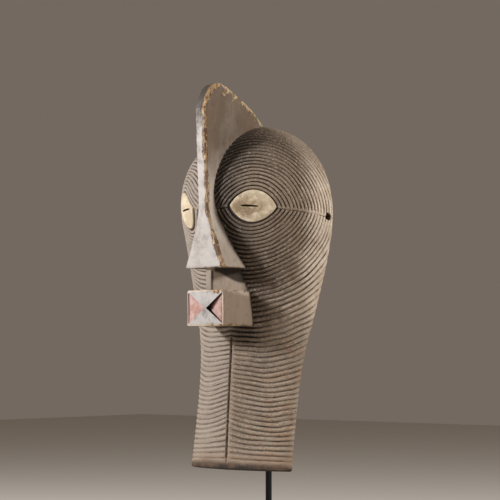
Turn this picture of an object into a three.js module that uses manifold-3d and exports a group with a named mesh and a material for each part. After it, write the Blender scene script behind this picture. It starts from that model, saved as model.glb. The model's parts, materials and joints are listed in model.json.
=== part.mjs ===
// A carved kifwebe mask held on a display rod with a plate foot. Millimetres, +Z up.
// The mask is worked out in its own frame: +X is its left side, -Y the face, +Z up along the back rim.
// It is then leaned back on the rod, above a foot whose underside's centre is the origin.
import * as THREE from 'three';
import { mergeVertices } from 'three/addons/utils/BufferGeometryUtils.js';
import Module from 'manifold-3d';

const wasm = await Module();
wasm.setup();
const { degToRad, lerp, smoothstep } = THREE.MathUtils;
const halfTurn = Math.PI;
const quarterTurn = Math.PI / 2;

// Driving dimensions
const lean = degToRad(8.7);
const level = Math.tan(lean); // rise per mm of depth that is level once the mask leans back
const chinClearance = 115; // rod that shows below the mask
const foot = { width: 180, depth: 200, thickness: 10, chamfer: 1.5 };
const rod = { radius: 4.4, sides: 16, behindRim: 56, behindFootCentre: 48 };
const rodHook = { from: 420, rise: 48, reach: 20 };
const rodArm = { up: 64, reach: 70.5, radius: 3.5, crossHalf: 28 };
const touchGap = 0.3;

// The shell's half-width, depth and squareness at heights up the mask, [height, value]
const shell = {
  top: 493,
  widest: 345,
  brow: 380,
  wall: 13,
  gable: 16, // how far the dome's outline is from a plain ellipse, which gives its slight point
  halfWidth: [[0, 88.5], [120, 87.6], [170, 92], [228, 104], [292, 115.6], [345, 119.4]],
  depth: [[0, 38.5], [120, 49], [180, 54], [215, 60], [246, 71], [290, 89], [325, 107], [355, 124], [380, 130.5]],
  squareness: [[0, 2.4], [60, 2.15], [110, 2], [230, 2], [360, 2.15], [400, 2.35], [440, 2.7], [493, 2.7]],
};

// The striations are loops about each eye, plain ellipses as seen from a plane turned to the side
const viewTurn = degToRad(40);
const eye = {
  across: -22.2,
  up: 355,
  halfLength: 34,
  halfHeight: 22.5,
  tilt: 0.035,
  pointed: 0.6,
  bulge: 1.2,
  rings: [[0.93, 0], [0.6, 0.7]], // rings inside the eye's outline, [size, share of the bulge]
};
const loops = {
  toCentre: 4, // this loop just reaches the centre line
  toRim: 17, // and this one the rim, at eye level
  evenlySpread: 32, // from here columns share a loop evenly; before, some meet at the rim
  above: 30, // loops up to the crown
  below: 51, // and down to the chin's last even one
  pitchByEye: 4.43,
  pitchOnChin: 6.73,
  evenFrom: 22,
  pitchOverEye: 5.3,
  crownFrom: 16,
  chinTrough: 38,
  widening: 0.6,
  levelFrom: 43,
  endLift: 4.5, // how much higher the lower edge is at the rim than at the centre
  cut: 1.7,
  wornAtRim: 0.4,
};
const mesh = { columns: 13, endCell: 0.03, besideCentre: 0.5 };
const chinLine = { from: 12, to: 182, cut: 4 };
const eyeSlit = { inner: [45.5, -114.2], outer: [67.4, -102.2], height: 3 };
const earHole = { radius: 3.5, behindRim: -12, up: 358 };

// The crest and the nose are one blade, cut level below the nose
const blade = {
  noseTip: [-124.3, 268.3],
  rise: -0.2027,
  halfWidth: 6.4,
  frontExtra: 1.4,
  flareFrom: 346,
  noseHalfWidth: 34.7,
  flarePower: 1.2,
  flareSteps: 7,
  back: -30, // inside the shell, where the hollow trims it
  buried: 20,
};
const crestTop = [[-168, 484], [-165.5, 499], [-159, 513], [-149, 522.5], [-138, 526],
  [-122, 524], [-96, 517], [-73, 509.5], [-53, 500.5], [-36, 489]];
const septum = { front: [-114.4, 253.6], frontHalf: 5, backHalf: 35, back: -60, from: 236, to: 284 };
const mouth = {
  front: [-114.5, 213.7],
  halfHeight: 24.7,
  halfWidth: 33,
  backHalf: 35.5,
  back: -40,
  rim: 2.2,
  sinkCentre: 9.5,
  sinkEdge: 1.5,
};

const smooth = (stations, at) => {
  const last = stations.length - 1;
  let k = 0;
  while (k < last - 1 && at > stations[k + 1][0]) k += 1;
  const slope = (i) => {
    if (i === last) return 0;
    const [x0, y0] = stations[Math.max(i - 1, 0)];
    const [x1, y1] = stations[i + 1];
    return (y1 - y0) / (x1 - x0);
  };
  const [x0, y0] = stations[k];
  const [x1, y1] = stations[k + 1];
  const span = x1 - x0;
  const t = THREE.MathUtils.clamp((at - x0) / span, 0, 1);
  const rest = 1 - t;
  return y0 * (1 + 2 * t) * rest * rest + slope(k) * span * t * rest * rest
    + y1 * t * t * (3 - 2 * t) - slope(k + 1) * span * t * t * rest;
};

const crossing = (value, inside, outside) => {
  let [a, b] = [inside, outside];
  for (let step = 0; step < 40; step += 1) {
    const middle = (a + b) / 2;
    if (value(middle) > 0) a = middle; else b = middle;
  }
  return (a + b) / 2;
};

// Shell surface
const widestHalf = shell.halfWidth.at(-1)[1];
const domeReach = widestHalf + shell.gable;
const domeHeight = (shell.top - shell.widest) / Math.sqrt(1 - (shell.gable / domeReach) ** 2);
const halfWidthAt = (z) => {
  if (z <= shell.widest) return smooth(shell.halfWidth, z);
  const s = (z - shell.widest) / domeHeight;
  return Math.max(domeReach * Math.sqrt(Math.max(1 - s * s, 0)) - shell.gable, 0);
};
const depthAt = (z) => {
  if (z <= shell.brow) return smooth(shell.depth, z);
  const s = (z - shell.brow) / (shell.top - shell.brow);
  return shell.depth.at(-1)[1] * Math.sqrt(Math.max(1 - s * s, 0));
};
const shellPoint = (turn, z) => {
  const n = smooth(shell.squareness, z);
  const k = (Math.abs(Math.sin(turn)) ** n + Math.abs(Math.cos(turn)) ** n) ** (-1 / n);
  return new THREE.Vector3(k * halfWidthAt(z) * Math.sin(turn), -k * depthAt(z) * Math.cos(turn), z);
};
const shellNormal = (turn, z) => {
  const step = 0.01;
  const at = Math.min(z, shell.top - 2 * step);
  const around = shellPoint(turn + step, at).sub(shellPoint(turn - step, at));
  const up = shellPoint(turn, at + step).sub(shellPoint(turn, at - step));
  return around.cross(up).normalize();
};

// A point of the shell from where the turned plane sees it
const across = (point) => point.x * Math.cos(viewTurn) + point.y * Math.sin(viewTurn);
const turnAt = (u, z) => crossing((turn) => u - across(shellPoint(turn, z)), 0, quarterTurn);
const centreAcross = (z) => across(shellPoint(0, z));
const rimAcross = (z) => across(shellPoint(quarterTurn, z));

// Loop sizes: reach to each side, rise over the eye, drop below it
const reachTo = (edgeAcross, side) => {
  const left = (reach) => side * (edgeAcross(eye.up + side * eye.tilt * reach) - eye.across) - reach;
  return crossing(left, 0, 2 * widestHalf);
};
const innerReach = reachTo(centreAcross, -1);
const outerReach = reachTo(rimAcross, 1);
const perLoop = (reach, count) => (reach - eye.halfLength) / count;
const tightening = (perLoop(innerReach, loops.toCentre) - perLoop(outerReach, loops.toRim))
  / (loops.toRim - loops.toCentre);
const firstPitch = perLoop(innerReach, loops.toCentre) + tightening * loops.toCentre;
const reachOf = (loop) => eye.halfLength + firstPitch * loop - tightening * loop * loop;
const dropOf = (loop) => {
  const even = Math.min(loop, loops.evenFrom);
  const growth = (loops.pitchOnChin - loops.pitchByEye) / (2 * loops.evenFrom);
  return eye.halfHeight + loops.pitchByEye * even + growth * even * even
    + loops.pitchOnChin * (loop - even);
};
const riseOf = (loop) => {
  if (loop <= loops.crownFrom) return eye.halfHeight + loops.pitchOverEye * loop;
  const crown = shell.top - shell.brow;
  const start = eye.up + eye.halfHeight + loops.pitchOverEye * loops.crownFrom - shell.brow;
  const startTurn = Math.asin(start / crown);
  const share = (loop - loops.crownFrom) / (loops.above - loops.crownFrom);
  const height = shell.brow + crown * Math.sin(lerp(startTurn, quarterTurn, share)) - eye.up;
  const offCentre = eye.across / reachOf(loops.above);
  return lerp(height, height / Math.sqrt(1 - offCentre ** 2), share ** 3);
};
const crownAngle = Math.acos(-eye.across / reachOf(loops.above));
const bottomLoop = loops.below + (eye.up - dropOf(loops.below)) / loops.pitchOnChin;

// Where a loop is at an angle round the eye: side is 1 above the eye and -1 below it
const loopAt = (loop, angle, side) => {
  const sharp = 1 + eye.pointed * Math.max(1 - loop / loops.toRim, 0);
  const swing = Math.sin(angle) ** sharp;
  if (side > 0) {
    const u = eye.across + reachOf(loop) * Math.cos(angle);
    return [u, eye.up + eye.tilt * (u - eye.across) + riseOf(loop) * swing];
  }
  const beyond = Math.max((loop - loops.toRim) / (bottomLoop - loops.toRim), 0);
  const widened = (dropOf(loop) / dropOf(loops.toRim)) ** loops.widening;
  const reach = beyond > 0 ? reachOf(loops.toRim) * widened : reachOf(loop);
  const u = lerp(eye.across, loops.chinTrough, beyond) + reach * Math.cos(angle);
  const slack = 1 - smoothstep(loop, loops.levelFrom, bottomLoop);
  const tilt = eye.tilt * (u - eye.across) * (1 - beyond) ** 2;
  const outward = (u - centreAcross(0)) / (rimAcross(0) - centreAcross(0));
  const lift = loops.endLift * beyond ** 8 * outward ** 2;
  return [u, eye.up + tilt + lift - dropOf(loop) * (1 - slack * (1 - swing))];
};
const loopSpan = (loop, side) => {
  const toCentre = (angle) => {
    const [u, z] = loopAt(loop, angle, side);
    return u - centreAcross(z);
  };
  const toRim = (angle) => {
    const [u, z] = loopAt(loop, angle, side);
    return rimAcross(z) - u;
  };
  const between = side > 0 ? crownAngle : quarterTurn;
  const inner = loop <= loops.toCentre ? halfTurn : crossing(toCentre, between, halfTurn);
  const outer = loop <= loops.toRim ? 0 : crossing(toRim, between, 0);
  return [inner, outer];
};

// A carved point: the shell's surface, cut in by a depth, kept on the centre line and in the rim's plane
const carvedPoint = (u, z, cut, place) => {
  const height = Math.min(z, shell.top);
  const beside = Math.max(u, centreAcross(height) + mesh.besideCentre);
  const turn = place.onCentre ? 0 : place.onRim ? quarterTurn : turnAt(beside, height);
  const point = shellPoint(turn, height).addScaledVector(shellNormal(turn, height), -cut);
  if (place.onCentre) point.x = 0;
  if (place.onRim) point.y = 0;
  return point;
};
const columnShare = (column) => {
  if (column === 0 || column === mesh.columns) return column / mesh.columns;
  return lerp(mesh.endCell, 1 - mesh.endCell, (column - 1) / (mesh.columns - 2));
};
const loopRow = (loop, side) => {
  if (side > 0 && loop === loops.above) {
    return Array.from({ length: mesh.columns + 1 }, () => new THREE.Vector3(0, 0, shell.top));
  }
  const [inner, outer] = loopSpan(loop, side);
  const lastAngle = outer * smoothstep(loop, loops.toRim, loops.evenlySpread);
  const groove = Math.abs(loop - Math.round(loop)) < 0.25;
  const row = [];
  for (let column = 0; column <= mesh.columns; column += 1) {
    const angle = Math.max(lerp(inner, lastAngle, columnShare(column)), outer);
    const place = {
      onCentre: column === 0 && loop >= loops.toCentre,
      onRim: angle === outer && loop >= loops.toRim,
      onBottom: side < 0 && loop === bottomLoop,
    };
    const onLine = (column === 0 || column === mesh.columns) && !place.onCentre && !place.onRim;
    const [u, z] = loopAt(loop, angle, side);
    let cut = groove && !onLine && !place.onBottom ? loops.cut : 0;
    if (place.onRim) cut *= loops.wornAtRim;
    if (place.onCentre && side < 0 && z > chinLine.from && z < chinLine.to) cut = chinLine.cut;
    row.push(carvedPoint(u, z, cut, place));
  }
  return row;
};
const patchRows = (count, side) => {
  const rows = [];
  for (let step = 0; step <= 2 * count; step += 1) rows.push(loopRow(step / 2, side));
  return rows;
};

// Mesh building
const triangles = () => {
  const corners = [];
  const face = (...points) => {
    for (let k = 2; k < points.length; k += 1) corners.push(points[0], points[k - 1], points[k]);
  };
  const grid = (rows, flip) => {
    for (let r = 1; r < rows.length; r += 1) {
      for (let c = 1; c < rows[r].length; c += 1) {
        const quad = [rows[r - 1][c - 1], rows[r - 1][c], rows[r][c], rows[r][c - 1]];
        face(...(flip ? quad.reverse() : quad));
      }
    }
  };
  const geometry = () => new THREE.BufferGeometry().setFromPoints(corners);
  return { face, grid, geometry };
};
const solid = (geometry) => {
  const bare = geometry.index ? geometry.toNonIndexed() : geometry.clone();
  bare.deleteAttribute('normal');
  bare.deleteAttribute('uv');
  const merged = mergeVertices(bare, 1e-3);
  const { array } = merged.index;
  const kept = [];
  for (let k = 0; k < array.length; k += 3) {
    const [a, b, c] = [array[k], array[k + 1], array[k + 2]];
    if (a !== b && b !== c && c !== a) kept.push(a, b, c);
  }
  const vertProperties = new Float32Array(merged.attributes.position.array);
  return new wasm.Manifold(new wasm.Mesh({ numProp: 3, vertProperties, triVerts: new Uint32Array(kept) }));
};
const geometryOf = (manifold) => {
  const result = manifold.getMesh();
  const geometry = new THREE.BufferGeometry();
  geometry.setAttribute('position', new THREE.BufferAttribute(result.vertProperties, 3));
  geometry.setIndex(new THREE.BufferAttribute(result.triVerts, 1));
  const flat = geometry.toNonIndexed();
  flat.computeVertexNormals();
  return flat;
};
const mirrored = (point) => new THREE.Vector3(-point.x, point.y, point.z);
const mirroredRows = (rows) => rows.map((row) => row.map(mirrored));

// The carved outside, closed flat at the back and below
function carvedBlock() {
  const upper = patchRows(loops.above, 1);
  const lower = patchRows(loops.below, -1);
  lower.push(loopRow(loops.below + 0.5, -1));
  lower.push(loopRow(bottomLoop, -1));
  const lensRing = [...upper[0]].reverse().concat(lower[0].slice(1));
  const lensMiddle = carvedPoint(eye.across, eye.up, -eye.bulge, {});
  const lensRows = [lensRing];
  for (const [scale, rise] of eye.rings) {
    const place = (point) => {
      const u = lerp(eye.across, across(point), scale);
      const z = lerp(eye.up, point.z, scale);
      return carvedPoint(u, z, -eye.bulge * rise, {});
    };
    const ring = lensRing.map(place);
    ring[ring.length - 1] = ring[0].clone();
    lensRows.push(ring);
  }
  lensRows.push(lensRing.map(() => lensMiddle));
  const block = triangles();
  for (const far of [false, true]) {
    const side = far ? mirroredRows : (rows) => rows;
    block.grid(side(upper), far);
    block.grid(side(lower), !far);
    block.grid(side(lensRows), far);
  }
  const rimOf = (rows) => rows.slice(2 * loops.toRim).map((row) => row.at(-1));
  const rim = rimOf(lower).reverse().concat(rimOf(upper).slice(1));
  for (let k = 1; k < rim.length; k += 1) {
    block.face(rim[k - 1], mirrored(rim[k - 1]), mirrored(rim[k]), rim[k]);
  }
  const bottom = lower.at(-1);
  for (let k = 1; k < bottom.length; k += 1) {
    block.face(bottom[k - 1], mirrored(bottom[k - 1]), mirrored(bottom[k]), bottom[k]);
  }
  return solid(block.geometry());
}

// The wearer's hollow: the shell's own shape set in by the wall, open at the back and below
function hollow() {
  const [turns, heights, past] = [14, 12, 20];
  const rows = [];
  for (let r = -1; r <= heights; r += 1) {
    const z = shell.top * Math.sin(quarterTurn * Math.max(r, 0) / heights);
    const row = [];
    for (let c = 0; c <= turns; c += 1) {
      const turn = lerp(-quarterTurn, quarterTurn, c / turns);
      const point = shellPoint(turn, z).addScaledVector(shellNormal(turn, z), -shell.wall);
      if (c === 0 || c === turns || r === heights) point.y = 0;
      if (r === heights) point.set(0, 0, shell.top - shell.wall);
      if (r < 0) point.z = -past;
      row.push(point);
    }
    const behind = (point) => new THREE.Vector3(point.x, past, point.z);
    rows.push([behind(row[0]), ...row, behind(row.at(-1))]);
  }
  const space = triangles();
  space.grid(rows, false);
  for (let r = 1; r < rows.length; r += 1) {
    space.face(rows[r - 1].at(-1), rows[r - 1][0], rows[r][0], rows[r].at(-1));
  }
  const lowest = rows[0];
  for (let c = 1; c < lowest.length - 2; c += 1) space.face(lowest[0], lowest[c + 1], lowest[c]);
  space.face(lowest[0], lowest.at(-1), lowest.at(-2));
  return solid(space.geometry());
}

// A block whose plan at each level is a four-sided shape, symmetric about the centre line
function stackedPlans(plans) {
  const rows = plans.map(({ z, front, back, frontHalf, backHalf }) => [
    new THREE.Vector3(-frontHalf, front, z[0]),
    new THREE.Vector3(frontHalf, front, z[0]),
    new THREE.Vector3(backHalf, back, z[1]),
    new THREE.Vector3(-backHalf, back, z[1]),
    new THREE.Vector3(-frontHalf, front, z[0]),
  ]);
  const block = triangles();
  block.grid(rows, false);
  const [lowest, highest] = [rows[0], rows.at(-1)];
  block.face(lowest[3], lowest[2], lowest[1], lowest[0]);
  block.face(highest[0], highest[1], highest[2], highest[3]);
  return solid(block.geometry());
}

const sideOutline = (points, halfWidth) => {
  const outline = new THREE.Shape(points.map(([y, z]) => new THREE.Vector2(y, z)));
  const sheet = new THREE.ExtrudeGeometry(outline, { depth: 2 * halfWidth, bevelEnabled: false });
  sheet.translate(0, 0, -halfWidth);
  sheet.applyMatrix4(new THREE.Matrix4().makeBasis(
    new THREE.Vector3(0, 1, 0), new THREE.Vector3(0, 0, 1), new THREE.Vector3(1, 0, 0)));
  return solid(sheet);
};

function crestAndNose() {
  const [tipY, tipZ] = blade.noseTip;
  const { back, buried, flareSteps } = blade;
  const frontAt = (z) => tipY + blade.rise * (z - tipZ);
  const halfAt = (z) => {
    const share = Math.max((blade.flareFrom - z) / (blade.flareFrom - tipZ), 0);
    return blade.halfWidth + (blade.noseHalfWidth - blade.halfWidth) * share ** blade.flarePower;
  };
  const plans = [];
  for (let k = 0; k <= flareSteps; k += 1) {
    const z = lerp(tipZ - blade.halfWidth, blade.flareFrom, k / flareSteps);
    const frontHalf = halfAt(z) + blade.frontExtra * k / flareSteps;
    plans.push({ z: [z, z], front: frontAt(z), back, frontHalf, backHalf: halfAt(z) });
  }
  const top = shell.top + 2 * buried;
  plans.push({
    z: [top, top], front: frontAt(top), back,
    frontHalf: blade.halfWidth + blade.frontExtra, backHalf: blade.halfWidth,
  });
  const clear = 3; // the outline starts this far in front of the nose
  const outline = [
    [tipY - clear, tipZ - clear * level], ...crestTop,
    [back, crestTop.at(-1)[1] - buried], [back, tipZ + (back - tipY) * level],
  ];
  return stackedPlans(plans).intersect(sideOutline(outline, 2 * blade.noseHalfWidth));
}

function septumBlock() {
  const plan = (z) => ({
    z: [z, z + (septum.back - septum.front[0]) * level],
    front: septum.front[0] - (z - septum.front[1]) * level,
    back: septum.back,
    frontHalf: septum.frontHalf,
    backHalf: septum.backHalf,
  });
  return stackedPlans([plan(septum.from), plan(septum.to)]);
}

function mouthBlock() {
  const [frontY, middleZ] = mouth.front;
  const plan = (up) => ({
    z: [middleZ + up, middleZ + up + (mouth.back - frontY) * level],
    front: frontY - up * level,
    back: mouth.back,
    frontHalf: mouth.halfWidth,
    backHalf: mouth.backHalf,
  });
  const block = stackedPlans([plan(-mouth.halfHeight), plan(mouth.halfHeight)]);
  const at = (x, up, sunk) => new THREE.Vector3(x, frontY - up * level + sunk, middleZ + up + sunk * level);
  const cornerX = mouth.halfWidth - mouth.rim;
  const cornerUp = mouth.halfHeight - mouth.rim;
  const inset = 1.2; // half the thickness of the ridge where the triangles meet
  const proud = 5;
  const pocket = (side) => {
    const corners = (edge, centre) => [
      at(side * cornerX, cornerUp - inset, edge),
      at(side * cornerX, inset - cornerUp, edge),
      at(side * inset, 0, centre),
    ];
    const front = corners(-proud, -proud);
    const floor = corners(mouth.sinkEdge, mouth.sinkCentre);
    const cut = triangles();
    cut.grid([[...floor, floor[0]], [...front, front[0]]], side > 0);
    const faces = side > 0 ? [floor, [...front].reverse()] : [[...floor].reverse(), front];
    for (const face of faces) cut.face(...face);
    return solid(cut.geometry());
  };
  return block.subtract(pocket(1)).subtract(pocket(-1));
}

function eyeCut(side) {
  const [x0, y0] = eyeSlit.inner;
  const [x1, y1] = eyeSlit.outer;
  const through = 60;
  const slit = new THREE.BoxGeometry(Math.hypot(x1 - x0, y1 - y0), through, eyeSlit.height);
  slit.rotateZ(side * Math.atan2(y1 - y0, x1 - x0));
  slit.translate(side * (x0 + x1) / 2, (y0 + y1) / 2, eye.up);
  return solid(slit);
}

function earCut(side) {
  const through = 60;
  const bore = new THREE.CylinderGeometry(earHole.radius, earHole.radius, through, 10);
  bore.rotateZ(quarterTurn);
  bore.translate(side * widestHalf, earHole.behindRim, earHole.up);
  return solid(bore);
}

function carvedMask() {
  const block = carvedBlock().add(crestAndNose()).add(septumBlock()).add(mouthBlock());
  let mask = block.subtract(hollow());
  for (const side of [1, -1]) mask = mask.subtract(eyeCut(side)).subtract(earCut(side));
  return geometryOf(mask);
}

// The stand's bars are measured from the rim's foot: Y back from it, Z up from the chin's lower edge
const bar = (points, radius, steps) => {
  const outline = new THREE.Shape();
  outline.absarc(0, 0, radius, 0, 2 * halfTurn, false);
  const extrudePath = new THREE.CatmullRomCurve3(points.map((point) => new THREE.Vector3(...point)));
  const options = { extrudePath, steps, curveSegments: rod.sides / 2 };
  return solid(new THREE.ExtrudeGeometry(outline, options));
};

function standRod() {
  const y = rod.behindRim;
  const { from, rise, reach } = rodHook;
  const post = bar([[0, y, touchGap - chinClearance], [0, y, from]], rod.radius, 1);
  const hook = bar([
    [0, y, from - rod.radius], [0, y, from], [0, y - reach * 0.25, from + rise * 0.6],
    [0, y - reach, from + rise],
  ], rod.radius * 0.98, 8);
  const front = y - rodArm.reach;
  const arm = bar([[0, y, rodArm.up], [0, front, rodArm.up]], rodArm.radius, 1);
  const cross = bar([
    [-rodArm.crossHalf, front, rodArm.up], [rodArm.crossHalf, front, rodArm.up],
  ], rodArm.radius, 1);
  return geometryOf(post.add(hook).add(arm).add(cross));
}

function standFoot() {
  const { width, depth, thickness, chamfer } = foot;
  const [x, y] = [width / 2, depth / 2];
  const outline = new THREE.Shape([
    new THREE.Vector2(-x, -y), new THREE.Vector2(x, -y), new THREE.Vector2(x, y), new THREE.Vector2(-x, y),
  ]);
  const plate = new THREE.ExtrudeGeometry(outline, {
    depth: thickness - 2 * chamfer,
    bevelThickness: chamfer,
    bevelSize: chamfer,
    bevelOffset: -chamfer,
    bevelSegments: 1,
  });
  plate.translate(0, 0, chamfer);
  return geometryOf(solid(plate));
}

const part = (name, geometry, look) => {
  const piece = new THREE.Mesh(geometry, new THREE.MeshStandardMaterial(look));
  piece.name = name;
  return piece;
};
const wornWood = { color: 0x7d7266, roughness: 0.8, metalness: 0 };
const blackSteel = { color: 0x141416, roughness: 0.55, metalness: 0.4 };

const rimFoot = new THREE.Group();
rimFoot.position.set(0, rod.behindFootCentre - rod.behindRim, foot.thickness + chinClearance);
const mask = part('mask', carvedMask(), wornWood);
mask.rotation.x = -lean;
rimFoot.add(mask, part('stand_rod', standRod(), blackSteel));

const kifwebeMask = new THREE.Group();
kifwebeMask.add(rimFoot, part('stand_foot', standFoot(), blackSteel));

export default kifwebeMask;
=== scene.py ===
import json
import math
import sys

import bmesh
import bpy
import numpy as np
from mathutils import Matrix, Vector

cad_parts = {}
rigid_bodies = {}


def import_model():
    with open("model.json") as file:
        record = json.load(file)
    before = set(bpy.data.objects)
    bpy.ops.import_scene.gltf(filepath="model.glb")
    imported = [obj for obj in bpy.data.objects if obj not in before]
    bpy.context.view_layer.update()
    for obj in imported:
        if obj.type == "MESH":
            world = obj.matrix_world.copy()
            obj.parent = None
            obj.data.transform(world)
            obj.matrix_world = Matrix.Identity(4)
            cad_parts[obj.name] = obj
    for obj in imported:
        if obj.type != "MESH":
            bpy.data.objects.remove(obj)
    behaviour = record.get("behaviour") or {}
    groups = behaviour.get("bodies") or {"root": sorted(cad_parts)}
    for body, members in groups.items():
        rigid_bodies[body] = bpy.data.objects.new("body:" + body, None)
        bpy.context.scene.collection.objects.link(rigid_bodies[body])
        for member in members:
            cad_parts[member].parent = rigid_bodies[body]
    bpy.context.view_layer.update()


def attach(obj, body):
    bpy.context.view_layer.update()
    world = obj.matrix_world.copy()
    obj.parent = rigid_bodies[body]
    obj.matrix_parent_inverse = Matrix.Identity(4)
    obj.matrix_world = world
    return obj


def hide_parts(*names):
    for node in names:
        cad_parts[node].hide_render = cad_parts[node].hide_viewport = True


for leftover in list(bpy.data.objects):
    bpy.data.objects.remove(leftover)
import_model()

mm = 0.001
quarterTurn = math.pi / 2
halfTurn = math.pi
wholeTurn = 2 * math.pi

# the mask is worked out in millimetres in its own frame, then leaned back and lifted above the foot
stance = {"lean": math.radians(8.7), "rimFoot": (0, -8, 125)}
level = math.tan(stance["lean"])

# the camera stands where the photograph was taken
photo = {
    "azimuth": math.radians(40),
    "away": 2460,
    "aimDepth": 14.7,
    "height": 171,
    "focalPixels": 1740,
    "framePixels": 500,
    "aimRisePixels": 100,
}


def addToScene(name, data):
    thing = bpy.data.objects.new(name, data)
    bpy.context.scene.collection.objects.link(thing)
    return thing


# a thing's mesh with its modifiers worked out
def modifiedMesh(thing):
    view = bpy.context.evaluated_depsgraph_get()
    return bpy.data.meshes.new_from_object(thing.evaluated_get(view), depsgraph=view)


def smoothUpTo(data, degrees):
    data.shade_smooth()
    data.set_sharp_from_angle(angle=math.radians(degrees))


def makeCamera():
    data = bpy.data.cameras.new("photoCamera")
    data.sensor_width = 36
    data.lens = data.sensor_width * photo["focalPixels"] / photo["framePixels"]
    data.clip_start = 0.05
    camera = addToScene("photoCamera", data)
    turn = photo["azimuth"]
    pitch = math.atan(photo["aimRisePixels"] / photo["focalPixels"])
    _, footY, footZ = stance["rimFoot"]
    camera.location = mm * Vector((
        photo["away"] * math.sin(turn),
        photo["aimDepth"] + footY - photo["away"] * math.cos(turn),
        photo["height"] + footZ,
    ))
    camera.rotation_euler = (quarterTurn + pitch, 0, turn)
    bpy.context.scene.camera = camera


makeCamera()
print("camera placed")


# numbers that run smoothly, one or many at a time
def mix(a, b, share):
    return a + (b - a) * share


def ease(value, start, end):
    share = np.clip((value - start) / (end - start), 0, 1)
    return share * share * (3 - 2 * share)


def fall(value, start, end):
    return 1 - ease(value, start, end)


def unit(ways):
    return ways / np.linalg.norm(ways, axis=-1, keepdims=True)


# 1 at no distance, down to 0 at the reach
def near(distance, reach):
    return np.clip(1 - distance / reach, 0, 1)


# a smooth curve through stations, each a height and a value, level at the last one
def smooth(stations, at):
    x, y = np.array(stations, float).T
    last = len(x) - 1
    before = np.maximum(np.arange(last) - 1, 0)
    after = np.arange(last) + 1
    slope = np.append((y[after] - y[before]) / (x[after] - x[before]), 0)
    k = np.clip(np.searchsorted(x, at, side="right") - 1, 0, last - 1)
    span = x[k + 1] - x[k]
    t = np.clip((at - x[k]) / span, 0, 1)
    rest = 1 - t
    return (y[k] * (1 + 2 * t) * rest**2 + slope[k] * span * t * rest**2
            + y[k + 1] * t * t * (3 - 2 * t) - slope[k + 1] * span * t * t * rest)


# where a value changes sign between two places, found by halving
def crossing(value, inside, outside):
    a, b = np.asarray(inside, float), np.asarray(outside, float)
    for _ in range(36):
        middle = (a + b) / 2
        within = value(middle) > 0
        a, b = np.where(within, middle, a), np.where(within, b, middle)
    return (a + b) / 2


# random waves of about the given size, mostly between -1 and 1
def waves(points, size, seed):
    count = 10
    rng = np.random.default_rng(seed)
    ways = unit(rng.normal(size=(count, 3)))
    lengths = size * rng.uniform(0.6, 1.8, count)
    phases = rng.uniform(0, wholeTurn, count)
    turns = np.asarray(points) @ (ways / lengths[:, None]).T * wholeTurn + phases
    return np.sin(turns).sum(-1) / math.sqrt(count / 2) / 2


# kind is how much the waves amount to and their size
def uneven(points, kind, seed):
    amount, size = kind
    return amount * waves(points, size, seed)


# the shell: half-width, depth and squareness at heights up the mask
shell = {
    "top": 493,
    "widest": 345,
    "brow": 380,
    "wall": 13,
    "gable": 16,
    "halfWidth": ((0, 88.5), (120, 87.6), (170, 92), (228, 104), (292, 115.6), (345, 119.4)),
    "depth": ((0, 38.5), (120, 49), (180, 54), (215, 60), (246, 71), (290, 89), (325, 107),
              (355, 124), (380, 130.5)),
    "squareness": ((0, 2.4), (60, 2.15), (110, 2), (230, 2), (360, 2.15), (400, 2.35), (440, 2.7),
                   (493, 2.7)),
}
widestHalf = shell["halfWidth"][-1][1]
domeReach = widestHalf + shell["gable"]
domeHeight = (shell["top"] - shell["widest"]) / math.sqrt(1 - (shell["gable"] / domeReach) ** 2)


def halfWidthAt(z):
    s = np.clip((z - shell["widest"]) / domeHeight, 0, 1)
    dome = np.maximum(domeReach * np.sqrt(1 - s * s) - shell["gable"], 0)
    return np.where(z <= shell["widest"], smooth(shell["halfWidth"], z), dome)


def depthAt(z):
    s = np.clip((z - shell["brow"]) / (shell["top"] - shell["brow"]), 0, 1)
    dome = shell["depth"][-1][1] * np.sqrt(1 - s * s)
    return np.where(z <= shell["brow"], smooth(shell["depth"], z), dome)


def roundness(turn, z):
    n = smooth(shell["squareness"], z)
    return (np.abs(np.sin(turn)) ** n + np.abs(np.cos(turn)) ** n) ** (-1 / n)


def shellPoint(turn, z):
    k = roundness(turn, z)
    x = k * halfWidthAt(z) * np.sin(turn)
    y = -k * depthAt(z) * np.cos(turn)
    return np.stack(np.broadcast_arrays(x, y, z), -1).astype(float)


def shellNormal(turn, z):
    step = 0.01
    at = np.minimum(z, shell["top"] - 2 * step)
    around = shellPoint(turn + step, at) - shellPoint(turn - step, at)
    up = shellPoint(turn, at + step) - shellPoint(turn, at - step)
    return unit(np.cross(around, up))


# the grooves: loops about each eye, plain ellipses as seen from a plane turned to the side
viewTurn = math.radians(40)
eye = {
    "across": -22.2,
    "up": 355,
    "halfLength": 34,
    "halfHeight": 22.5,
    "tilt": 0.035,
    "pointed": 0.6,
    "bulge": 1.2,
    "rimShare": 0.93,
    "rings": (0.975, 0.95, 0.93, 0.9, 0.84, 0.75, 0.62, 0.47, 0.3, 0.15),
}
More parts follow.
